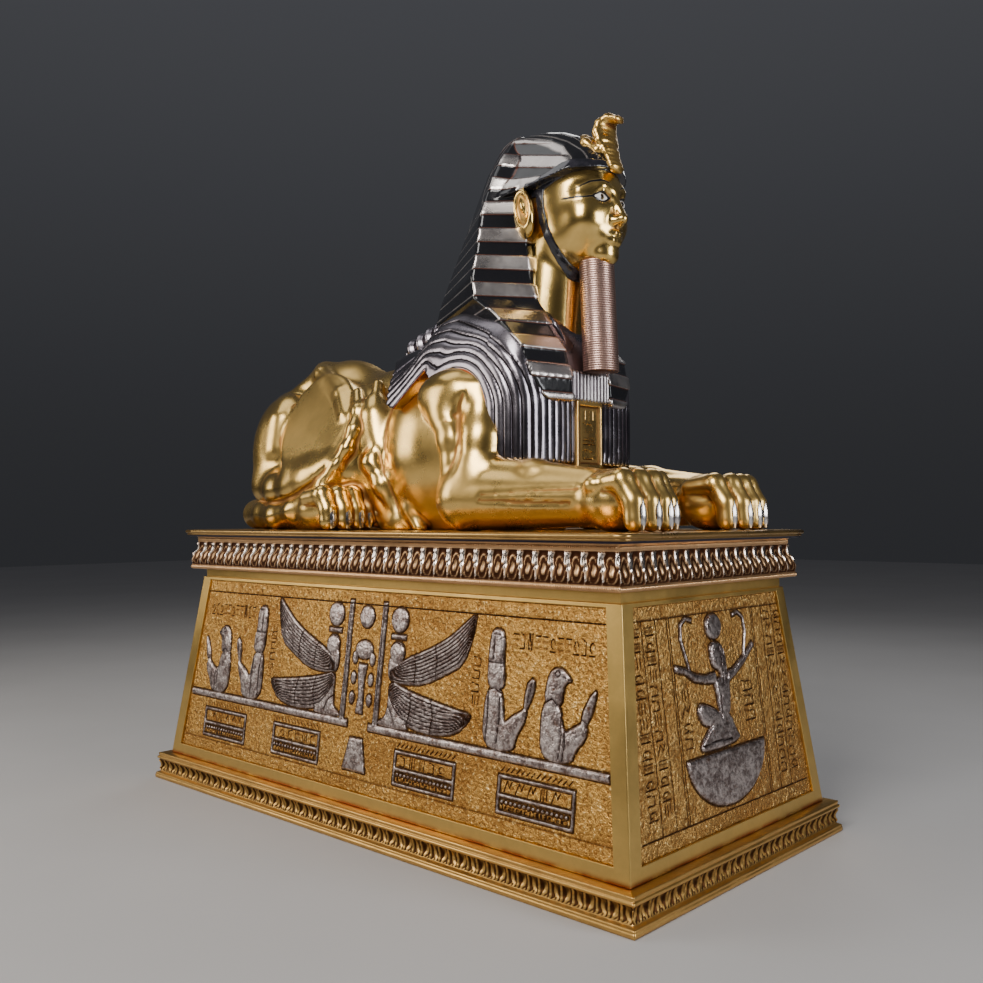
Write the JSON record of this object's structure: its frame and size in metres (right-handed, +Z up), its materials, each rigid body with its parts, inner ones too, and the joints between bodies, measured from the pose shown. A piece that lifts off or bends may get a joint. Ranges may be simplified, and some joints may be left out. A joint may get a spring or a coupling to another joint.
{
  "type": "statue",
  "caption": "Reclining sphinx with striped headcloth on a tapered plinth with relief panels and leaf mouldings, a floor-standing decorative statue.",
  "frame": {"origin": "middle of the underside of the base moulding", "axes": "+Z up, -Y the way the sphinx faces, +Y along the plinth towards its hindquarters"},
  "size_m": [0.81, 1.595, 1.6163],
  "materials": {
    "base_moulding": "worn gilt over cast resin",
    "plinth_body": "smooth gilt over cast resin",
    "panel_left": "hammered gilt with silvered relief over cast resin",
    "panel_right": "hammered gilt with silvered relief over cast resin",
    "panel_front": "hammered gilt with silvered relief over cast resin",
    "panel_back": "hammered gilt with silvered relief over cast resin",
    "cornice": "copper-gold gilt over cast resin",
    "top_slab": "dark gilt over cast resin",
    "sphinx": "burnished gold and silver leaf over cast resin"
  },
  "bodies": {
    "root": {"base_moulding": "base_moulding", "plinth_body": "plinth_body", "panel_left": "panel_left", "panel_right": "panel_right", "panel_front": "panel_front", "panel_back": "panel_back", "cornice": "cornice", "top_slab": "top_slab", "sphinx": "sphinx"}
  },
  "joints": []
}
